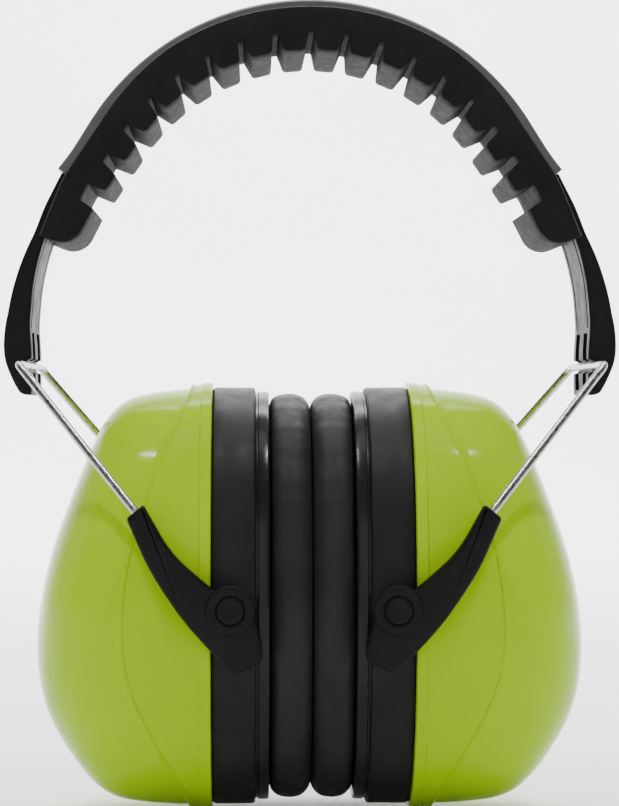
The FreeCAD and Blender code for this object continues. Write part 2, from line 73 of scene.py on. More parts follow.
# Headband layers, as depths inward from the outer line of the cover.
BAND_RADIUS = 64.2
BAND_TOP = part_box("headband_cover")[1][2] / MM
COVER_ARC, COVER_TAIL, COVER_WIDTH = 58.0, 14.0, 28.0
COVER_THICK, COVER_DEPTH, COVER_CROWN = 2.2, 4.5, 0.9
PAD_ARC, PAD_TAIL, PAD_TIP, PAD_TURN = 56.0, 18.0, 15.4, 12.0
PAD_WIDTH = 38.0
LEAF_DEPTH, LEAF_THICK, LEAF_WIDTH = 5.0, 0.6, 24.0
PAD_ROOT, PAD_DEPTH = 9.6, 14.1

# The band's pieces are cut at an angle from the crown, between its two bending zones, in degrees.
CUT_ANGLE = 18.7


# ---------------------------------------------------------------- meshes

def new_mesh(name, verts, faces, sharp=35.0):
    """Object from points in millimetres, shaded smooth but for edges sharper than an angle."""
    mesh = bpy.data.meshes.new(name)
    mesh.from_pydata([tuple(float(c) * MM for c in v) for v in verts], [], faces)
    mesh.validate()
    mesh.shade_smooth()
    mesh.set_sharp_from_angle(angle=math.radians(sharp))
    piece = bpy.data.objects.new(name, mesh)
    bpy.context.scene.collection.objects.link(piece)
    fix_normals(mesh)
    return piece


def fix_normals(mesh):
    """Turn every face of a mesh outward."""
    work = bmesh.new()
    work.from_mesh(mesh)
    bmesh.ops.recalc_face_normals(work, faces=work.faces)
    work.to_mesh(mesh)
    work.free()


def skin(name, rows, closed_rows=False, ladder_caps=False, sharp=35.0):
    """Surface through rows of points, each a closed ring. Unless the rows close on themselves, the first and
    last are capped, with one face, or with a ladder of faces across a long narrow outline."""
    count = len(rows[0])
    verts = np.concatenate([np.asarray(row, float) for row in rows])
    faces = []
    spans = len(rows) if closed_rows else len(rows) - 1
    for row in range(spans):
        here, there = row * count, ((row + 1) % len(rows)) * count
        for column in range(count):
            after = (column + 1) % count
            faces.append((here + column, here + after, there + after, there + column))
    ends = () if closed_rows else (0, (len(rows) - 1) * count)
    for first in ends:
        if ladder_caps:
            far = first + count - 1
            faces += [(first + k, first + k + 1, far - k - 1, far - k) for k in range(count // 2 - 1)]
        else:
            faces.append(tuple(range(first, first + count)))
    return new_mesh(name, verts, faces, sharp)


def join(name, pieces):
    """One object from several, by adding their meshes."""
    verts, faces = [], []
    for piece in pieces:
        start = len(verts)
        verts += [tuple(v.co / MM) for v in piece.data.vertices]
        faces += [tuple(start + i for i in face.vertices) for face in piece.data.polygons]
        bpy.data.objects.remove(piece)
    return new_mesh(name, verts, faces)


def outline_normals(points):
    """Outward normals of a closed outline, longer at corners so that an offset keeps its distance."""
    points = np.asarray(points, float)
    ahead = np.roll(points, -1, 0) - points
    ahead /= np.linalg.norm(ahead, axis=1)[:, None]
    behind = np.roll(ahead, 1, 0)
    normal = np.stack([ahead[:, 1] + behind[:, 1], -ahead[:, 0] - behind[:, 0]], 1)
    length = np.linalg.norm(normal, axis=1)[:, None]
    area = np.sum(points[:, 0] * np.roll(points[:, 1], -1) - np.roll(points[:, 0], -1) * points[:, 1])
    cosine = length / 2
    return normal / length / np.maximum(cosine, 0.5) * (1 if area > 0 else -1)


def round_corners(points, reaches, steps=5):
    """Closed outline with each corner replaced by a curve that starts and ends at a reach from it."""
    points = [np.asarray(p, float) for p in points]
    out = []
    for i, corner in enumerate(points):
        before, after = points[i - 1] - corner, points[(i + 1) % len(points)] - corner
        reach = min(reaches[i], 0.45 * np.linalg.norm(before), 0.45 * np.linalg.norm(after))
        first = corner + before / np.linalg.norm(before) * reach
        last = corner + after / np.linalg.norm(after) * reach
        for k in range(steps):
            t = k / (steps - 1)
            out.append((1 - t) ** 2 * first + 2 * t * (1 - t) * corner + t * t * last)
    return np.array(out)


def slab(name, outline, y_levels, insets):
    """Solid with an XZ outline, drawn in by an inset at each Y level, so its edges are rounded."""
    normals = outline_normals(outline)
    rows = []
    for y, inset in zip(y_levels, insets):
        flat = outline - normals * inset
        rows.append(np.stack([flat[:, 0], np.full(len(flat), y), flat[:, 1]], 1))
    return skin(name, rows)


def rounded_edges(low, high, radius, steps=4):
    """Y levels and insets that round both edges of a slab between two levels."""
    levels, insets = [], []
    for k in range(steps + 1):
        angle = math.pi / 2 * k / steps
        levels.append(low + radius * (1 - math.cos(angle)))
        insets.append(radius * (1 - math.sin(angle)))
    return levels + [low + high - y for y in reversed(levels)], insets + insets[::-1]


def tube(name, path, radius, around=20):
    """Round bar along a path of points, with its cross-section carried along without twist."""
    path = np.asarray(path, float)
    tangents = np.gradient(path, axis=0)
    tangents /= np.linalg.norm(tangents, axis=1)[:, None]
    side = np.cross(tangents[0], [1.0, 0.3, 0.2])
    rows = []
    for point, tangent in zip(path, tangents):
        side = side - tangent * side.dot(tangent)
        side /= np.linalg.norm(side)
        up = np.cross(tangent, side)
        angles = np.linspace(0, 2 * math.pi, around, endpoint=False)
        rows.append([point + radius * (math.cos(a) * side + math.sin(a) * up) for a in angles])
    return skin(name, rows, sharp=60)


def mirror(points, side):
    """Points of the right side, moved to the given side."""
    return np.asarray(points, float) * np.array([side, 1, 1] if np.shape(points)[-1] == 3 else [side, 1])


# ---------------------------------------------------------------- materials

# Where most of a noise texture's values lie.
MIDDLE_RANGE = (0.3, 0.7)


def material(name, base, metallic=0.0, sheen=0.0, specular=0.5, ior=1.45):
    """New material with its constants on the shader, and its node tree and shader to add textures to."""
    made = bpy.data.materials.new(name)
    made.use_nodes = True
    made.diffuse_color = (*base, 1)
    shader = made.node_tree.nodes["Principled BSDF"]
    shader.inputs["Metallic"].default_value = metallic
    shader.inputs["Sheen Weight"].default_value = sheen
    shader.inputs["Sheen Roughness"].default_value = 0.5
    shader.inputs["Specular IOR Level"].default_value = specular
    shader.inputs["IOR"].default_value = ior
    return made, made.node_tree, shader


def noise(tree, scale, detail=3.0, stretch=(1, 1, 1)):
    """Noise in the object's own coordinates. Its scale is in cycles per metre."""
    place = tree.nodes.new("ShaderNodeTexCoord")
    mapping = tree.nodes.new("ShaderNodeMapping")
    mapping.inputs["Scale"].default_value = stretch
    texture = tree.nodes.new("ShaderNodeTexNoise")
    texture.inputs["Scale"].default_value = scale
    texture.inputs["Detail"].default_value = detail
    tree.links.new(place.outputs["Object"], mapping.inputs["Vector"])
    tree.links.new(mapping.outputs["Vector"], texture.inputs["Vector"])
    return texture.outputs["Fac"]


def ramp(tree, source, low, high):
    """Number from low to high as the source goes through the middle of its range."""
    node = tree.nodes.new("ShaderNodeMapRange")
    node.inputs["From Min"].default_value = MIDDLE_RANGE[0]
    node.inputs["From Max"].default_value = MIDDLE_RANGE[1]
    node.inputs["To Min"].default_value = low
    node.inputs["To Max"].default_value = high
    tree.links.new(source, node.inputs["Value"])
    return node.outputs["Result"]


def blend_colors(tree, source, low, high):
    """Colour from low to high as the source goes through the middle of its range."""
    node = tree.nodes.new("ShaderNodeMix")
    node.data_type = "RGBA"
    node.inputs["A"].default_value = (*low, 1)
    node.inputs["B"].default_value = (*high, 1)
    tree.links.new(ramp(tree, source, 0, 1), node.inputs["Factor"])
    return node.outputs["Result"]


def add_bump(tree, shader, source, distance):
    """Bump of a depth in metres, linked to the shader."""
    node = tree.nodes.new("ShaderNodeBump")
    node.inputs["Distance"].default_value = distance
    tree.links.new(source, node.inputs["Height"])
    tree.links.new(node.outputs["Normal"], shader.inputs["Normal"])
    return node


def moulded(name, low, high, rough, grain=2500.0, depth=0.00002, **constants):
    """Moulded plastic: slight colour drift, patchy gloss, and a fine spark-eroded grain."""
    made, tree, shader = material(name, high, **constants)
    drift = noise(tree, 60, 4)
    tree.links.new(blend_colors(tree, drift, low, high), shader.inputs["Base Color"])
    tree.links.new(ramp(tree, noise(tree, 220, 4), *rough), shader.inputs["Roughness"])
    add_bump(tree, shader, noise(tree, grain, 2), depth)
    return made


def metal(name, low, high, rough, stretch, depth=0.00001):
    """Bright drawn or rolled steel with fine lines along it."""
    made, tree, shader = material(name, high, metallic=1.0)
    lines = noise(tree, 900, 3, stretch)
    tree.links.new(blend_colors(tree, lines, low, high), shader.inputs["Base Color"])
    tree.links.new(ramp(tree, lines, *rough), shader.inputs["Roughness"])
    add_bump(tree, shader, lines, depth)
    return made


def foam(name, low, high, cell, depth):
    """Open-cell foam: small pits with lighter walls, and painted shade that darkens each pit towards its middle.
    """
    made, tree, shader = material(name, high, sheen=0.3)
    place = tree.nodes.new("ShaderNodeTexCoord")
    cells = tree.nodes.new("ShaderNodeTexVoronoi")
    cells.inputs["Scale"].default_value = cell
    tree.links.new(place.outputs["Object"], cells.inputs["Vector"])
    # Colour follows the bump's cell distance: darker at each pit's middle, painted shade in the pits.
    tree.links.new(blend_colors(tree, cells.outputs["Distance"], low, high), shader.inputs["Base Color"])
    tree.links.new(ramp(tree, noise(tree, 400), 0.85, 0.98), shader.inputs["Roughness"])
    add_bump(tree, shader, cells.outputs["Distance"], depth)
    return made


def soft_skin(name, low, high, rough, grain, depth, **constants):
    """Thin leathery skin over foam: pebbled grain, with broad soft unevenness."""
    made, tree, shader = material(name, high, **constants)
    tree.links.new(blend_colors(tree, noise(tree, 90, 5), low, high), shader.inputs["Base Color"])
    tree.links.new(ramp(tree, noise(tree, 500, 4), *rough), shader.inputs["Roughness"])
    fine = add_bump(tree, shader, noise(tree, grain, 3), depth)
    broad = tree.nodes.new("ShaderNodeBump")
    broad.inputs["Distance"].default_value = depth * 6
    tree.links.new(noise(tree, 120, 2), broad.inputs["Height"])
    tree.links.new(broad.outputs["Normal"], fine.inputs["Normal"])
    return made


def grey(level):
    """Neutral colour."""
    return (level, level, level)


# For each slot: darkest and lightest colour, range of roughness, grain in cycles per metre, depth in metres.
MATERIALS = {
    "shell_plastic": moulded(
        "lime_gloss", (0.30, 0.50, 0.0), (0.33, 0.54, 0.0), (0.09, 0.14), grain=1200, depth=0.000003, ior=1.11
    ),
    "band_cover": moulded(
        "cover_satin", (0.050, 0.050, 0.052), (0.066, 0.066, 0.068), (0.30, 0.42), specular=0.6
    ),
    "arm_plastic": moulded("arm_satin", grey(0.0035), grey(0.0055), (0.45, 0.60), specular=0.3, ior=1.3),
    "holder_plastic": moulded(
        "holder_matte", grey(0.0035), grey(0.0055), (0.42, 0.58), specular=0.3, ior=1.3
    ),
    "base_plastic": moulded("base_matte", grey(0.010), grey(0.014), (0.42, 0.55), specular=0.15),
    "plate_plastic": moulded(
        "plate_gloss", grey(0.010), grey(0.014), (0.18, 0.28), grain=900, depth=0.000004, ior=1.25
    ),
    "pad_foam": soft_skin(
        "pad_skin", grey(0.009), grey(0.012), (0.62, 0.80), grain=1800, depth=0.00003, specular=0.08
    ),
    "cushion_skin": soft_skin(
        "cushion_skin", grey(0.015), grey(0.020), (0.45, 0.60), grain=2200, depth=0.00003, specular=0.15
    ),
    "wire_steel": metal(
        "drawn_wire", (0.36, 0.36, 0.35), (0.46, 0.46, 0.45), (0.24, 0.34),
        stretch=(1, 0.2, 1), depth=0.000001,
    ),
    "spring_steel": metal("spring_steel", grey(0.55), grey(0.75), (0.2, 0.35), stretch=(0.1, 1, 1)),
    # The darker colour here is painted shade at the bottom of the foam's pits.
    "foam": foam("charcoal_foam", (0.012, 0.012, 0.013), (0.05, 0.05, 0.052), cell=1400, depth=0.0003),
}


def finish_piece(piece, slot, node, body=None):
    """Material, the CAD node that the piece stands for, and its body when one is given."""
    piece.data.materials.clear()
    piece.data.materials.append(MATERIALS[slot])
    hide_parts(node)
    if body:
        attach(piece, body)


# ---------------------------------------------------------------- headband

def heading_at(s, arc_end, kinks):
    """Heading below horizontal, in degrees, at a distance along the band's outer line."""
    angle = min(math.degrees(s / BAND_RADIUS), arc_end)
    for start, length, turn in kinks:
        share = min(max((s - start) / length, 0), 1)
        angle += turn * share * share * (3 - 2 * share)
    return angle


def band_path(s_end, arc_end, kinks, step=0.25):
    """Lookup of point and heading along the right half of a band line, from the crown."""
    distances = np.arange(0, s_end + step, step)
    headings = np.radians([heading_at(s, arc_end, kinks) for s in distances])
    middle = (headings[1:] + headings[:-1]) / 2
    x = np.concatenate([[0], np.cumsum(np.cos(middle) * step)])
    z = BAND_TOP - np.concatenate([[0], np.cumsum(np.sin(middle) * step)])
    return distances, x, z, headings


def arc_length(degrees):
    """Distance along the band's outer line for an angle from the crown."""
    return math.radians(degrees) * BAND_RADIUS


COVER_END = arc_length(COVER_ARC) + COVER_TAIL
PAD_END = arc_length(PAD_ARC) + PAD_TAIL + PAD_TIP
COVER_PATH = band_path(COVER_END, COVER_ARC, [(COVER_END - 9, 9, -7)])
PAD_PATH = band_path(PAD_END, PAD_ARC, [(PAD_END - PAD_TIP - 5, 10, PAD_TURN)])


def on_band(path, s, depth, y, side):
    """Point at a distance along the band, a depth inward and a place across it."""
    distances, xs, zs, headings = path
    x, z, h = (np.interp(s, distances, values) for values in (xs, zs, headings))
    return (side * (x - depth * math.sin(h)), y, z - depth * math.cos(h))


def bend_with_band(piece):
    """Bake a stretch of the band's placement into its mesh."""
    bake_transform(piece)


def band_stretches(s_end):
    """Stretches of the right half: from the crown to the cut, and from the cut to the end."""
    cut = arc_length(CUT_ANGLE)
    return (("inner", 0.0, cut, False), ("outer", cut, s_end, True))


def samples(start, end, spacing, extra=()):
    """Even distances from start to end, with extra ones that fall inside added in order."""
    even = np.linspace(start, end, max(2, int(round((end - start) / spacing)) + 1))
    return sorted(set(even.tolist()) | {s for s in extra if start < s < end})


def cover_section():
    """Section of the cover as (depth, y) points: a crowned skin over two side walls."""
    half, wall, edge = COVER_WIDTH / 2, 1.5, 0.5
    top = []
    for k in range(-8, 9):
        share = k / 8
        top.append((COVER_CROWN * abs(share) ** 2.5, share * (half - edge)))
    outer = [(COVER_CROWN + edge, -half), *top, (COVER_CROWN + edge, half), (COVER_DEPTH, half)]
    inner = [(COVER_DEPTH, half - wall), (COVER_THICK, half - wall)]
    return outer + inner + [(depth, -y) for depth, y in reversed(inner)] + [(COVER_DEPTH, -half)]


def build_cover():
    """Outer strip of the band."""
    for label, side in SIDES:
        for part, start, end, outer in band_stretches(COVER_END):
            rows = []
            for s in samples(start, end, 1.5, [COVER_END - 0.4]):
                rows.append([on_band(COVER_PATH, s, depth, y, side) for depth, y in cover_section()])
            piece = skin(f"headband_cover_{part}_{label}", rows)
            finish_piece(piece, "band_cover", "headband_cover")
            bend_with_band(piece)


def build_leaf():
    """Leaf spring between the cover and the pad."""
    half = LEAF_WIDTH / 2
    low, high = LEAF_DEPTH, LEAF_DEPTH + LEAF_THICK
    section = [(low, -half), (low, half), (high, half), (high, -half)]
    for label, side in SIDES:
        for part, start, end, outer in band_stretches(PAD_END - 0.8):
            rows = []
            for s in samples(start, end, 2.0):
                rows.append([on_band(PAD_PATH, s, depth, y, side) for depth, y in section])
            piece = skin(f"leaf_spring_{part}_{label}", rows)
            finish_piece(piece, "spring_steel", "leaf_spring")
            bend_with_band(piece)


# Ribs: their angles from the crown, widths at root and tip, and the rounding of the tip's edges. The block
# at the pad's end rises over a ramp, and gets lower towards its rounded end.
TOOTH_ANGLES = (4.6, 13.7, 22.9, 32.0, 41.2, 50.3, 60.0, 70.0)
TOOTH_ROOT, TOOTH_TIP, TOOTH_EDGE, TOOTH_DROP = 6.9, 5.0, 1.0, 0.5
BLOCK_LENGTH, BLOCK_ROUND, BLOCK_RAMP, BLOCK_DROP, BLOCK_TAPER = 11.6, 5.0, 0.9, 0.7, 0.09
# Depth of the pad's outer edge at angles down each side: it shows a little less of the cover midway.
SHOULDER_ANGLES = (0, 20, 35, PAD_ARC)
SHOULDER_DEPTHS = (3.2, 3.0, 2.8, 3.5)


def tooth_places():
    """Distance along the band of each rib on one side, with the stretch from depth to surface there."""
    places = []
    tip_radius = BAND_RADIUS - PAD_DEPTH
    for angle in TOOTH_ANGLES:
        if angle < PAD_ARC:
            places.append((arc_length(angle), BAND_RADIUS / tip_radius))
        else:
            past = math.tan(math.radians(angle - PAD_ARC)) * tip_radius
            places.append((arc_length(PAD_ARC) + past, 1.0))
    return places


def pad_inner_depth(s):
    """Depth of the pad's inner side: ribs with rounded corners, and a rounded block at the end."""
    depth = PAD_ROOT
    for place, stretch in tooth_places():
        off = abs(s - place) / stretch
        top, foot = TOOTH_TIP / 2, TOOTH_ROOT / 2
        if off < top:
            edge = min(max((off - (top - TOOTH_EDGE)) / TOOTH_EDGE, 0), 1)
            depth = PAD_DEPTH - TOOTH_DROP * edge ** 2
        elif off < foot:
            share = (off - top) / (foot - top)
            depth = PAD_DEPTH - TOOTH_DROP - (PAD_DEPTH - TOOTH_DROP - PAD_ROOT) * share
    into = s - (PAD_END - BLOCK_LENGTH)
    if into > 0:
        high = PAD_DEPTH - BLOCK_DROP - BLOCK_TAPER * into
        close = min((PAD_END - s) / BLOCK_ROUND, 1)
        high -= BLOCK_ROUND * (1 - math.sqrt(max(0, 1 - (1 - close) ** 2)))
        depth = PAD_ROOT + (high - PAD_ROOT) * min(into / BLOCK_RAMP, 1)
    return depth


def pad_section(s):
    """Section of the pad as (depth, y) points: two edges with a groove between them for the leaf."""
    half = PAD_WIDTH / 2
    shoulder = float(np.interp(s, [arc_length(angle) for angle in SHOULDER_ANGLES], SHOULDER_DEPTHS))
    inner = pad_inner_depth(s)
    groove, floor, least = 14.4, LEAF_DEPTH + LEAF_THICK + 0.05, 1.2
    if inner < floor + least:
        floor = max(shoulder + 0.1, inner - least)
    left = [(floor, -groove), (shoulder, -groove), (shoulder, -half + 1.2), (shoulder + 0.35, -half + 0.35)]
    left += [(shoulder + 1.2, -half), (inner - 0.9, -half), (inner - 0.25, -half + 0.3), (inner, -half + 0.9)]
    right = [(depth, -y) for depth, y in reversed(left)]
    return left + [(inner, -half + 6), (inner, half - 6)] + right


def pad_rows(start, end):
    """Distances at which the pad's section is drawn: close together at the corners of each rib."""
    least_gap, most_gap = 0.02, 1.6
    offs = [0.0, *(TOOTH_TIP / 2 - back for back in (1.0, 0.6, 0.3, 0.01)), TOOTH_ROOT / 2]
    corners = []
    for place, stretch in tooth_places():
        for off in offs:
            corners += [place - off * stretch, place + off * stretch]
    corners += [PAD_END - BLOCK_LENGTH + into for into in (0, BLOCK_RAMP, BLOCK_RAMP + 0.5)]
    corners += [PAD_END - BLOCK_ROUND * (1 - math.cos(math.radians(a))) for a in range(0, 91, 10)]
    inside = [s for s in corners if start < s < end]
    merged = sorted(inside + [start, end])
    filled = [merged[0]]
    for s in merged[1:]:
        gap = s - filled[-1]
        if gap < least_gap:
            continue
        parts = int(gap // most_gap) + 1
        filled += [s - gap + gap * k / parts for k in range(1, parts)]
        filled.append(s)
    return filled


def build_pad():
    """Ribbed head pad."""
    for label, side in SIDES:
        for part, start, end, outer in band_stretches(PAD_END):
            rows = []
            for s in pad_rows(start, end):
                rows.append([on_band(PAD_PATH, s, depth, y, side) for depth, y in pad_section(s)])
            piece = skin(f"headband_pad_{part}_{label}", rows, sharp=40)
            finish_piece(piece, "pad_foam", "headband_pad")
            bend_with_band(piece)


# ---------------------------------------------------------------- telescopic arms

# The arm's outer line leaves the cover at its start, runs straight, and then bends down round a radius.
ARM_START = np.array([59.1, BAND_TOP - 42.1])
SLIDE_ANGLE, ARM_ANGLE = math.radians(36.0), math.radians(27.5)
ARM_STRAIGHT, ARM_BEND = 18.2, 63.0
ARM_BEND_END = 9.0
ARM_WIDTH, TONGUE_WIDTH, TONGUE_LENGTH = 28.0, 22.0, 30.4
# Inner side of the arm's bent part, as (heading in degrees, depth from the outer line).
ARM_THICKNESS = ((7, 5.7), (11, 5.4), (15, 4.8), (19, 4.2), (23, 3.6))
# Lower end of the arm round the wire: offsets outward and up from it, from the outer side round.
ARM_FOOT = (
    (4.85, 10.2), (5.2, 7.3), (5.3, 4.3), (5.0, 1.4), (4.0, -1.5), (2.6, -4.5), (1.3, -6.7), (-0.3, -7.2),
    (-1.5, -7.2), (-1.6, -3.4), (-1.6, 1.2), (-1.5, 4.5),
)


def arm_point(along, inward):
    """Point on the arm: distance down from the cover's end, and depth inward from its outer line."""
    angle = ARM_ANGLE if along > 0 else SLIDE_ANGLE
    run = np.array([math.sin(angle), -math.cos(angle)])
    return ARM_START + along * run - inward * np.array([math.cos(angle), math.sin(angle)])


def arm_bend_point(degrees, inward):
    """Point on the bent part of the arm, at a heading from vertical."""
    centre = arm_point(ARM_STRAIGHT, 0) - ARM_BEND * np.array([math.cos(ARM_ANGLE), math.sin(ARM_ANGLE)])
    angle = math.radians(degrees)
    return centre + (ARM_BEND - inward) * np.array([math.cos(angle), math.sin(angle)])


def resample(outline, spacing):
    """Closed outline with an even number of points at an even spacing."""
    points = np.vstack([outline, outline[:1]])
    lengths = np.concatenate([[0], np.cumsum(np.linalg.norm(np.diff(points, axis=0), axis=1))])
    even = np.linspace(0, lengths[-1], 2 * int(lengths[-1] / spacing / 2), endpoint=False)
    return np.stack([np.interp(even, lengths, points[:, k]) for k in (0, 1)], 1)


# Recesses of the arm's inner face: places across it, places above the wire's bar, and depths.
GROOVE_ACROSS, GROOVE_UP, GROOVE_CUT = (8.9, 10.3), (9.5, 36.0), 0.7
WINDOW_ACROSS, WINDOW_UP, WINDOW_CUT = (3.4, 9.6), (-5.4, 8.0), 1.9
CHANNEL_HALF, CHANNEL_CUT = 1.4, 1.2


def arm_recess(outline, normals, y):
    """How far the inner face is cut back: two long grooves, four windows, and a channel over the bar."""
    up = outline[:, 1] - HINGE[1]
    across = abs(y)
    cut = np.zeros(len(outline))
    if GROOVE_ACROSS[0] < across < GROOVE_ACROSS[1]:
        cut[(up > GROOVE_UP[0]) & (up < GROOVE_UP[1])] = GROOVE_CUT
    if WINDOW_ACROSS[0] < across < WINDOW_ACROSS[1]:
        cut[(up > WINDOW_UP[0]) & (up < WINDOW_UP[1])] = WINDOW_CUT
    cut[np.abs(up) < CHANNEL_HALF] = CHANNEL_CUT
    return np.where(normals[:, 0] < -0.5, cut, 0)


def arm_outline():
    """Side view of the right arm below the cover."""
    bend = [arm_bend_point(heading, 0) for heading in np.linspace(math.degrees(ARM_ANGLE), ARM_BEND_END, 11)]
    foot = [HINGE + offset for offset in ARM_FOOT]
    inner = [arm_bend_point(heading, depth) for heading, depth in ARM_THICKNESS]
    corners = [arm_point(1.7, -0.9), arm_point(11.0, -0.8), *bend, *foot, *inner]
    corners += [arm_point(ARM_STRAIGHT, 2.9), arm_point(1.8, 1.3)]
    reaches = [0.2] + [2.0] * (len(corners) - 3) + [5.0, 0.2]
    return resample(round_corners(corners, reaches), 0.5)


def build_arm(label, side):
    """Bent arm with recesses in its inner face, and the flat tongue that slides in the band."""
    outline = arm_outline()
    normals = outline_normals(outline)
    levels, insets = rounded_edges(-ARM_WIDTH / 2, ARM_WIDTH / 2, 0.7)
    walls = sorted(y + off for y in GROOVE_ACROSS + WINDOW_ACROSS for off in (-0.1, 0.1))
    middle = [-y for y in reversed(walls)] + walls
    between = len(levels) // 2
    levels[between:between] = middle
    insets[between:between] = [0] * len(middle)
    rows = []
    for y, inset in zip(levels, insets):
        cut = inset + arm_recess(outline, normals, y)
        flat = outline - normals * cut[:, None]
        rows.append(np.stack([side * flat[:, 0], np.full(len(flat), y), flat[:, 1]], 1))
    lower = skin("lower", rows, ladder_caps=True)
    outer, inner, overlap = 0.1, 1.3, 3.0
    tongue = [arm_point(along, outer) for along in (-TONGUE_LENGTH, 0, overlap)]
    tongue += [arm_point(overlap, inner - 0.1), arm_point(0, inner), arm_point(-TONGUE_LENGTH, inner)]
    levels, insets = rounded_edges(-TONGUE_WIDTH / 2, TONGUE_WIDTH / 2, 0.3)
    upper = slab("upper", mirror(round_corners(tongue, [0.4] * len(tongue)), side), levels, insets)
    piece = join(f"arm_{label}_moulding", [lower, upper])
    finish_piece(piece, "arm_plastic", f"arm_{label}", f"{label}_arm")


# ---------------------------------------------------------------- stirrups, holders and pins

def rounded_route(points, radii, steps=8):
    """Points along straight runs joined by arcs tangent to them."""
    points = [np.asarray(p, float) for p in points]
    out = [points[0]]
    for before, corner, after, radius in zip(points, points[1:], points[2:], radii):
        incoming = (corner - before) / np.linalg.norm(corner - before)
        outgoing = (after - corner) / np.linalg.norm(after - corner)
        half = math.acos(np.clip(incoming.dot(outgoing), -1, 1)) / 2
        inward = (outgoing - incoming) / np.linalg.norm(outgoing - incoming)
        centre = corner + inward * radius / math.cos(half)
        first = corner - incoming * radius * math.tan(half)
        start = first - centre
        for k in range(steps + 1):
            turn = 2 * half * k / steps
            out.append(centre + start * math.cos(turn) + incoming * radius * math.sin(turn))
    out.append(points[-1])
    return np.array(out)


WIRE_RADIUS = 1.0
BAR_HALF, LEG_LENGTH, LEG_SOCKET = 30.0, 44.6, 6.0
BAR_BEND, LEG_BEND = 3.5, 10.0
HOLDER_Y, HOLDER_THICK = 43.4, 5.2
HOLDER_MOUTH = PIVOT + (21.9, 22.7)
HOLDER_FACE = HOLDER_Y + HOLDER_THICK
RIM_OUTER, RIM_INNER, RIM_SUNK = 5.75, 3.42, 1.4
PIN_SHANK, PIN_HEAD, PIN_DISH, PIN_START = 2.0, 3.1, 1.6, 35.5


def build_stirrup(label, side):
    """Bent wire: a bar through the arm's foot, and a leg down into each holder."""
    down = (HOLDER_MOUTH - HINGE) / np.linalg.norm(HOLDER_MOUTH - HINGE)
    socket_y = HOLDER_Y + HOLDER_THICK / 2

    def place(along, y):
        flat = HINGE + down * along
        return (side * flat[0], y, flat[1])

    route = [place(LEG_LENGTH + LEG_SOCKET, -socket_y), place(LEG_LENGTH, -socket_y), place(0, -BAR_HALF)]
    route += [(x, -y, z) for x, y, z in reversed(route)]
    path = rounded_route(route, [LEG_BEND, BAR_BEND, BAR_BEND, LEG_BEND])
    dense = []
    for here, there in zip(path, path[1:]):
        count = max(1, int(np.linalg.norm(there - here) // 3))
        dense += [here + (there - here) * k / count for k in range(count)]
    piece = tube(f"wire_stirrup_{label}_bar", dense + [path[-1]], WIRE_RADIUS)
    finish_piece(piece, "wire_steel", f"wire_stirrup_{label}", f"{label}_stirrup")


# Corners of a holder's outline: inward and up from the pivot, and the reach of the rounding.
HOLDER_CORNERS = (
    ((-23.9, 21.1), 0.8), ((-18.6, 9.0), 5.0), ((-11.0, -2.3), 5.0), ((-4.8, -9.2), 3.0),
    ((0.3, -14.1), 1.5), ((1.8, -14.5), 1.2), ((7.4, -12.0), 1.2), ((7.4, -8.5), 2.0),
    ((5.8, -1.5), 3.0), ((4.6, 3.4), 2.0), ((0.4, 5.9), 3.0), ((-3.6, 4.4), 1.0),
    ((-4.8, 5.3), 0.8), ((-13.6, 12.9), 5.0), ((-20.0, 24.3), 0.8),
)


def ring_rows(x, z, levels, around=48):
    """Circles round a Y axis, one for each (y, radius)."""
    angles = np.linspace(0, 2 * math.pi, around, endpoint=False)
    return [[(x + radius * math.cos(a), y, z + radius * math.sin(a)) for a in angles] for y, radius in levels]


def build_holder(label, side, front_name, front):
    """Moulded lever on the end of the wire, with a raised rim round the pin's head."""
    outline = [(PIVOT[0] - inward, PIVOT[1] + up) for (inward, up), _ in HOLDER_CORNERS]
    shape = round_corners(mirror(outline, side), [reach for _, reach in HOLDER_CORNERS])
    levels, insets = rounded_edges(HOLDER_Y, HOLDER_FACE - 0.6, 0.9)
    plate = slab("plate", shape, [front * y for y in levels], insets)
    face = HOLDER_FACE
    profile = [(face - RIM_SUNK, RIM_OUTER), (face - 0.35, RIM_OUTER), (face - 0.08, RIM_OUTER - 0.2)]
    profile += [(face, RIM_OUTER - 0.55), (face, RIM_INNER + 0.33), (face - 0.1, RIM_INNER + 0.08)]
    profile += [(face - 0.3, RIM_INNER), (face - RIM_SUNK, RIM_INNER)]
    rows = ring_rows(side * PIVOT[0], PIVOT[1], [(front * y, radius) for y, radius in profile])
    rim = skin("rim", rows, closed_rows=True)
    piece = join(f"pivot_holder_{front_name}_{label}_moulding", [plate, rim])
    finish_piece(piece, "holder_plastic", f"pivot_holder_{front_name}_{label}", f"{label}_stirrup")


def build_pin(label, side, front_name, front):
    """Pivot pin: a shank with a chamfered start, and a round head that is slightly dished."""
    face = HOLDER_FACE + 0.3
    profile = [(PIN_START, PIN_SHANK - 0.3), (PIN_START + 0.4, PIN_SHANK), (face - 1.7, PIN_SHANK)]
    profile += [(face - 1.7, PIN_HEAD), (face - 0.4, PIN_HEAD), (face - 0.12, PIN_HEAD - 0.1)]
    profile += [(face, PIN_HEAD - 0.38), (face, PIN_DISH + 0.6), (face - 0.12, PIN_DISH), (face - 0.14, 0.4)]
    rows = ring_rows(side * PIVOT[0], PIVOT[1], [(front * y, radius) for y, radius in profile])
    piece = skin(f"pivot_pin_{front_name}_{label}_button", rows)
    finish_piece(piece, "holder_plastic", f"pivot_pin_{front_name}_{label}", f"{label}_cup")


# ---------------------------------------------------------------- cups

# Places along X: the plate, the base and the shell stack outward from the cushion.
PLATE_NEAR, BASE_NEAR, SHELL_MOUTH, SHELL_CROWN = 10.2, 13.5, 24.0, 67.7
SHELL_LENGTH = SHELL_CROWN - SHELL_MOUTH
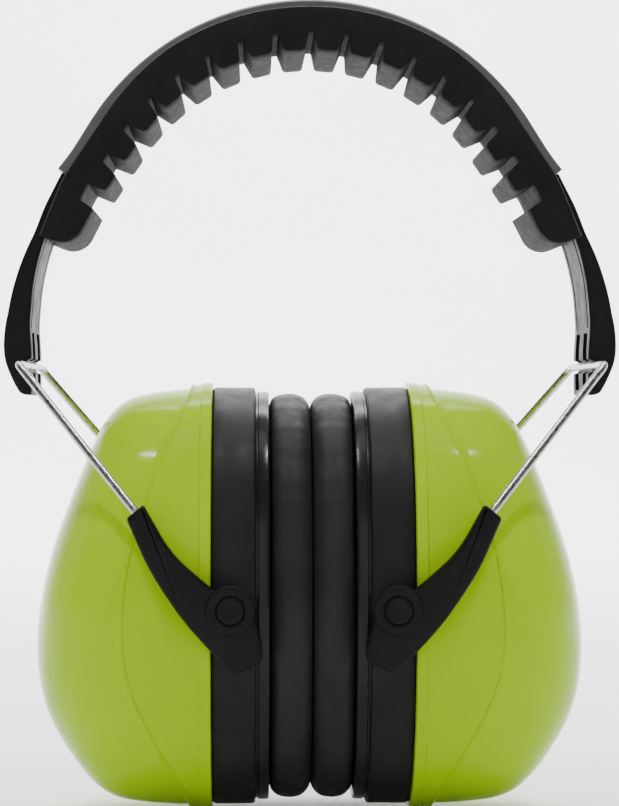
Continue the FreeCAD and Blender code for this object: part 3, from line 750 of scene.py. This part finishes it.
# Half height and half width of each oval, and the widths of the rings.
CUP_Z, CUP_Y = 52.2, 42.3
BASE_Z, BASE_Y, BASE_RING = 51.6, 41.8, 20.3
PLATE_Z, PLATE_Y, PLATE_RING = 50.6, 40.8, 17.6
DISC_Z, DISC_Y = 30.4, 20.4
FOAM_Z, FOAM_Y = 40.9, 32.9
OVAL_POWER = 2.2
AROUND, SHELL_AROUND = 160, 224


def even_angles(count):
    """Angles round a full turn."""
    return np.linspace(0, 2 * math.pi, count, endpoint=False)


def power_cosines(angles, fullness):
    """Cosine and sine, raised so that their outline goes from an ellipse at 2 towards a rectangle."""
    c, s = np.cos(angles), np.sin(angles)
    power = 2 / fullness
    return np.sign(c) * np.abs(c) ** power, np.sign(s) * np.abs(s) ** power


def oval(x, half_z, half_y, side, middle=0.0, count=AROUND):
    """Ring of points square to X: an oval a little fuller than an ellipse."""
    c, s = power_cosines(even_angles(count), OVAL_POWER)
    place = np.broadcast_to(side * np.asarray(x, float), (count,))
    return np.stack([place, half_y * c, PIVOT[1] + middle + half_z * s], 1)


def oval_ring(name, side, profile, half_z, half_y):
    """Ring round the cup's X axis from a closed profile of (x, inset from the outer oval)."""
    rows = [oval(x, half_z - inset, half_y - inset, side) for x, inset in profile]
    return skin(name, rows, closed_rows=True)


# Shell sections: share of the way from mouth to crown, then lowest and highest Z and half width in Y as
# shares of the cup's half height and half width.
SHELL_SECTIONS = np.array([
    (0.00, -1.000, 1.000, 1.000),
    (0.25, -0.997, 0.984, 0.990),
    (0.48, -0.980, 0.950, 0.957),
    (0.60, -0.946, 0.870, 0.910),
    (0.71, -0.862, 0.672, 0.827),
    (0.82, -0.730, 0.440, 0.700),
    (0.92, -0.590, 0.200, 0.500),
    (0.98, -0.420, -0.030, 0.250),
    (1.00, -0.225, -0.225, 0.000),
])


def smooth_table(columns, fine=400, blur=14):
    """Shell sections against the square root of what is left to the crown, with the corners eased."""
    left = np.sqrt(1 - columns[:, 0])[::-1]
    grid = np.linspace(0, 1, fine)
    kernel = np.exp(-0.5 * (np.arange(-3 * blur, 3 * blur + 1) / blur) ** 2)
    pad = 4 * blur - 1
    eased = []
    for column in columns[:, 1:].T:
        values = np.interp(grid, left, column[::-1])
        before = 2 * values[0] - values[pad:0:-1]
        after = 2 * values[-1] - values[-2:-pad - 2:-1]
        soft = np.convolve(np.concatenate([before, values, after]), kernel / kernel.sum(), mode="same")
        eased.append(soft[pad:pad + fine])
    return grid, eased


SHELL_GRID, (SHELL_LOW, SHELL_HIGH, SHELL_HALF) = smooth_table(SHELL_SECTIONS)
LEAST_RADIUS = 0.02

# The shell's faces stand off those sections by a rise. Round the mouth is a lip, as (distance, rise).
SKIRT_RISE, DOME_RISE, SHELL_WALL = 0.4, -0.45, 2.6
LIP = ((0.0, -1.0), (0.0, 0.2), (0.25, 0.7), (2.6, 0.7), (2.9, SKIRT_RISE))
# The skirt is longest at its middle height, and shortens to its least at its reach up and down from there.
SKIRT_LEAST, SKIRT_BULGE = 5.0, 16.0
SKIRT_MIDDLE, SKIRT_UP, SKIRT_DOWN = -5.0, 57.0, 47.0
# Bead along the skirt's edge, as (distance past the edge, rise), down to the dome.
SKIRT_BEAD = ((-0.35, 0.62), (-0.1, 0.72), (0.2, 0.66), (0.5, 0.2), (0.75, -0.25), (1.2, DOME_RISE))


def shell_ring(distance, raised, side):
    """Ring of the shell at a distance from the mouth, which may differ round the ring."""
    left = np.sqrt(1 - np.clip(distance / SHELL_LENGTH, 0, 1))
    low, high, half = (np.interp(left, SHELL_GRID, column) for column in (SHELL_LOW, SHELL_HIGH, SHELL_HALF))
    half_z = np.maximum((high - low) / 2 * CUP_Z + raised, LEAST_RADIUS)
    half_y = np.maximum(half * CUP_Y + raised, LEAST_RADIUS)
    return oval(SHELL_MOUTH + distance, half_z, half_y, side, (high + low) / 2 * CUP_Z, SHELL_AROUND)


def skirt_edge():
    """Distance from the mouth to the raised skirt's curved edge, round the cup."""
    up = CUP_Z * np.sin(even_angles(SHELL_AROUND)) - SKIRT_MIDDLE
    reach = np.where(up > 0, SKIRT_UP, SKIRT_DOWN)
    power = np.where(up > 0, 1.2, 1.5)
    bulge = np.maximum(np.cos(np.pi / 2 * np.clip(up / reach, -1, 1)), 0) ** power
    return SKIRT_LEAST + SKIRT_BULGE * bulge


def build_shell(label, side):
    """Shell from its mouth: lip, raised skirt, bead, dome, and the inner side back to the mouth."""
    edge = skirt_edge()
    rows = [shell_ring(np.full_like(edge, distance), raised, side) for distance, raised in LIP]
    lip_end = LIP[-1][0]
    for k in range(1, 13):
        rows.append(shell_ring(lip_end + (edge - lip_end - 0.6) * k / 12, SKIRT_RISE, side))
    for past, raised in SKIRT_BEAD:
        rows.append(shell_ring(edge + past, raised, side))
    first = edge + SKIRT_BEAD[-1][0]
    for k in range(1, 41):
        share = min(math.sin(math.pi / 2 * k / 40), 0.99999)
        rows.append(shell_ring(first + (SHELL_LENGTH - first) * share, DOME_RISE, side))
    for k in range(12, -1, -1):
        share = math.sin(math.pi / 2 * k / 12) * 0.985
        rows.append(shell_ring(np.full_like(edge, (SHELL_LENGTH - SHELL_WALL) * share), -SHELL_WALL, side))
    piece = skin(f"cup_shell_{label}_dome", rows, closed_rows=True, sharp=28)
    finish_piece(piece, "shell_plastic", f"cup_shell_{label}", f"{label}_cup")


def build_base(label, side):
    """Black ring that carries the pivots, between the shell and the plate."""
    near, far = BASE_NEAR, SHELL_MOUTH
    profile = [(near, 1.4), (near, 0.7), (near + 0.25, 0.25), (near + 0.6, 0.05), (near + 7.0, 0.0)]
    profile += [(far - 0.7, 0.0), (far - 0.3, 0.25), (far, 0.6), (far, BASE_RING), (near, BASE_RING)]
    piece = oval_ring(f"cup_base_{label}_ring", side, profile, BASE_Z, BASE_Y)
    finish_piece(piece, "base_plastic", f"cup_base_{label}", f"{label}_cup")


def build_plate(label, side):
    """Glossy ring that the cushion sits on."""
    near, far = PLATE_NEAR, BASE_NEAR
    profile = [(near, 1.6), (near, 0.5), (near + 0.25, 0.15), (near + 0.7, 0.0), (near + 2.5, 0.0)]
    profile += [(near + 2.7, 0.3), (far, 0.35), (far, PLATE_RING), (near, PLATE_RING)]
    piece = oval_ring(f"cushion_plate_{label}_ring", side, profile, PLATE_Z, PLATE_Y)
    finish_piece(piece, "plate_plastic", f"cushion_plate_{label}", f"{label}_cup")


CUSHION_NEAR, CUSHION_FAR = 0.1, 10.15
CUSHION_Z, CUSHION_Y, CUSHION_RING = 50.3, 40.5, 21.0
CUSHION_FULLNESS = 4.5
CLOTH_FRAMES = 20


def inflate(piece, voxel, pressure, reach):
    """Puff a closed mesh up by cloth simulation. No point moves further than the reach, in millimetres."""
    scene = bpy.context.scene
    remesh = piece.modifiers.new("remesh", "REMESH")
    remesh.mode = "VOXEL"
    remesh.voxel_size = voxel * MM
    apply_modifiers(piece)
    before = [v.co.copy() for v in piece.data.vertices]
    cloth = piece.modifiers.new("cloth", "CLOTH")
    cloth.settings.use_pressure = True
    cloth.settings.uniform_pressure_force = pressure
    cloth.settings.effector_weights.gravity = 0
    cloth.settings.quality = 6
    cloth.settings.mass = 0.2
    cloth.point_cache.frame_start, cloth.point_cache.frame_end = 1, CLOTH_FRAMES
    for frame_number in range(1, CLOTH_FRAMES + 1):
        scene.frame_set(frame_number)
    apply_modifiers(piece)
    scene.frame_set(1)
    for vertex, start in zip(piece.data.vertices, before):
        moved = vertex.co - start
        if moved.length > reach * MM:
            vertex.co = start + moved.normalized() * reach * MM


def apply_modifiers(piece):
    """Put the modifiers' result in the mesh and take them off."""
    graph = bpy.context.evaluated_depsgraph_get()
    graph.update()
    old = piece.data
    piece.data = bpy.data.meshes.new_from_object(piece.evaluated_get(graph))
    piece.modifiers.clear()
    bpy.data.meshes.remove(old)


def build_cushion(label, side):
    """Puffed ring. It swells past both its faces, and is then flattened where it rests on them."""
    near, far = CUSHION_NEAR, CUSHION_FAR
    swell = 1.0
    rows = []
    for sideways, depth in zip(*power_cosines(even_angles(48), CUSHION_FULLNESS)):
        x = (near + far) / 2 - (far - near + swell) / 2 * depth
        inset = CUSHION_RING / 2 * (1 - sideways)
        rows.append(oval(x, CUSHION_Z - inset, CUSHION_Y - inset, side))
    piece = skin(f"ear_cushion_{label}_ring", rows, closed_rows=True, sharp=80)
    inflate(piece, voxel=2.4, pressure=4.0, reach=1.1)
    relax = piece.modifiers.new("relax", "SMOOTH")
    relax.factor, relax.iterations = 0.5, 4
    smooth = piece.modifiers.new("smooth", "SUBSURF")
    smooth.levels = smooth.render_levels = 1
    apply_modifiers(piece)
    for vertex in piece.data.vertices:
        x = abs(vertex.co.x) / MM
        vertex.co.x = side * min(max(x, near), far) * MM
    piece.data.shade_smooth()
    finish_piece(piece, "cushion_skin", f"ear_cushion_{label}", f"{label}_cup")


def build_foam_disc(label, side):
    """Thin disc of foam over the cup's opening, flat behind and slightly domed in front."""
    back, front, rise = 23.0, 21.6, 0.8
    rows = [oval(back, DISC_Z, DISC_Y, side)]
    for share in (1.0, 0.97, 0.9, 0.75, 0.5, 0.25, 0.02):
        x = front - rise * math.sqrt(1 - share ** 2)
        rows.append(oval(x, DISC_Z * share, DISC_Y * share, side))
    piece = skin(f"foam_disc_{label}_pad", rows)
    finish_piece(piece, "foam", f"foam_disc_{label}", f"{label}_cup")


def build_acoustic_foam(label, side):
    """Block of foam inside the shell, with worn edges and a slightly drawn-in end."""
    near, far = 26.1, 45.9
    profile = [(near, 3.0), (near, 0.9), (near + 0.4, 0.3), (near + 1.1, 0.1), (near + 9.9, 0.0)]
    profile += [(far - 1.9, 0.9), (far - 0.5, 1.6), (far, 2.8), (far, 6.0)]
    rows = [oval(x, FOAM_Z - inset, FOAM_Y - inset, side) for x, inset in profile]
    piece = skin(f"acoustic_foam_{label}_block", rows)
    finish_piece(piece, "foam", f"acoustic_foam_{label}", f"{label}_cup")


def paint_cad_nodes():
    """Finish for the CAD nodes that are shown as they are."""
    slots = {part["node"]: part["material_slot"] for part in frame["record"]["subparts"]}
    for name, node in frame["nodes"].items():
        node.data.materials.clear()
        node.data.materials.append(MATERIALS[slots[name]])


# ---------------------------------------------------------------- stage, light and camera

# From here on, lengths are in metres.
FLOOR_Z = -0.1883
FLOOR_REACH, SWEEP_START, SWEEP_RADIUS, WALL_TOP = 6.0, 1.6, 1.2, 5.0


def build_stage():
    """Pale floor that curves up into a backdrop a long way behind."""
    profile = [(-FLOOR_REACH, 0.0), (SWEEP_START, 0.0)]
    for k in range(1, 13):
        angle = math.pi / 2 * k / 12
        profile.append((SWEEP_START + SWEEP_RADIUS * math.sin(angle), SWEEP_RADIUS * (1 - math.cos(angle))))
    profile.append((SWEEP_START + SWEEP_RADIUS, WALL_TOP))
    verts = [(x, y, FLOOR_Z + z) for y, z in profile for x in (-FLOOR_REACH, FLOOR_REACH)]
    faces = [(2 * k, 2 * k + 1, 2 * k + 3, 2 * k + 2) for k in range(len(profile) - 1)]
    mesh = bpy.data.meshes.new("backdrop")
    mesh.from_pydata(verts, [], faces)
    mesh.shade_smooth()
    backdrop = bpy.data.objects.new("backdrop", mesh)
    bpy.context.scene.collection.objects.link(backdrop)
    made, tree, shader = material("pale_paper", grey(0.9))
    tree.links.new(blend_colors(tree, noise(tree, 3, 2), grey(0.90), grey(0.93)), shader.inputs["Base Color"])
    shader.inputs["Roughness"].default_value = 0.9
    mesh.materials.append(made)


def area_light(name, place, target, size, power, size_y=None):
    """Soft light at a place, turned towards its target. Its size is square unless a second size is given."""
    data = bpy.data.lights.new(name, "AREA")
    data.energy = power
    data.shape = "RECTANGLE"
    data.size = size
    data.size_y = size_y or size
    lamp = bpy.data.objects.new(name, data)
    lamp.location = place
    lamp.rotation_euler = (Vector(target) - Vector(place)).to_track_quat("-Z", "Y").to_euler()
    bpy.context.scene.collection.objects.link(lamp)


def build_lights():
    """Two small high windows, a broad front fill, a top light, two rims, and the backdrop's own lights."""
    middle = (0, 0, -0.09)
    for label, side in SIDES:
        area_light(f"window_{label}", (side * 0.42, -0.38, 1.15), middle, 0.16, 8, 0.035)
        area_light(f"rim_{label}", (side * 1.1, 0.5, 0.2), middle, 0.5, 1.5, 1.2)
    area_light("front_fill", (0, -2.2, 0.3), middle, 1.6, 13)
    area_light("top", (0, 0.0, 1.3), middle, 0.9, 7)
    area_light("backdrop_low", (0, 1.1, 1.6), (0, 2.6, 0.3), 2.0, 170)
    area_light("floor_back", (0, 1.4, 2.2), (0, 1.8, -0.19), 2.0, 60)
    world = bpy.data.worlds.new("studio")
    world.use_nodes = True
    world.node_tree.nodes["Background"].inputs["Color"].default_value = (1, 1, 1, 1)
    world.node_tree.nodes["Background"].inputs["Strength"].default_value = 0.06
    bpy.context.scene.world = world


CAMERA_DISTANCE, CAMERA_HEIGHT, CAMERA_YAW, CAMERA_LENS = 0.590, -0.0854, 1.4, 105.4


def build_camera():
    """Level camera, a little to the left of straight in front."""
    data = bpy.data.cameras.new("camera")
    data.lens = CAMERA_LENS
    camera = bpy.data.objects.new("camera", data)
    yaw = math.radians(CAMERA_YAW)
    camera.location = (-CAMERA_DISTANCE * math.sin(yaw), -CAMERA_DISTANCE * math.cos(yaw), CAMERA_HEIGHT)
    aim = Vector((0, 0, CAMERA_HEIGHT))
    camera.rotation_euler = (aim - camera.location).to_track_quat("-Z", "Y").to_euler()
    bpy.context.scene.collection.objects.link(camera)
    bpy.context.scene.camera = camera


paint_cad_nodes()
build_cover()
build_leaf()
build_pad()
for side_label, side_sign in SIDES:
    build_arm(side_label, side_sign)
    build_stirrup(side_label, side_sign)
    for end_name, end_sign in (("front", -1), ("back", 1)):
        build_holder(side_label, side_sign, end_name, end_sign)
        build_pin(side_label, side_sign, end_name, end_sign)
    build_shell(side_label, side_sign)
    build_base(side_label, side_sign)
    build_plate(side_label, side_sign)
    build_cushion(side_label, side_sign)
    build_foam_disc(side_label, side_sign)
    build_acoustic_foam(side_label, side_sign)
build_stage()
build_lights()
build_camera()
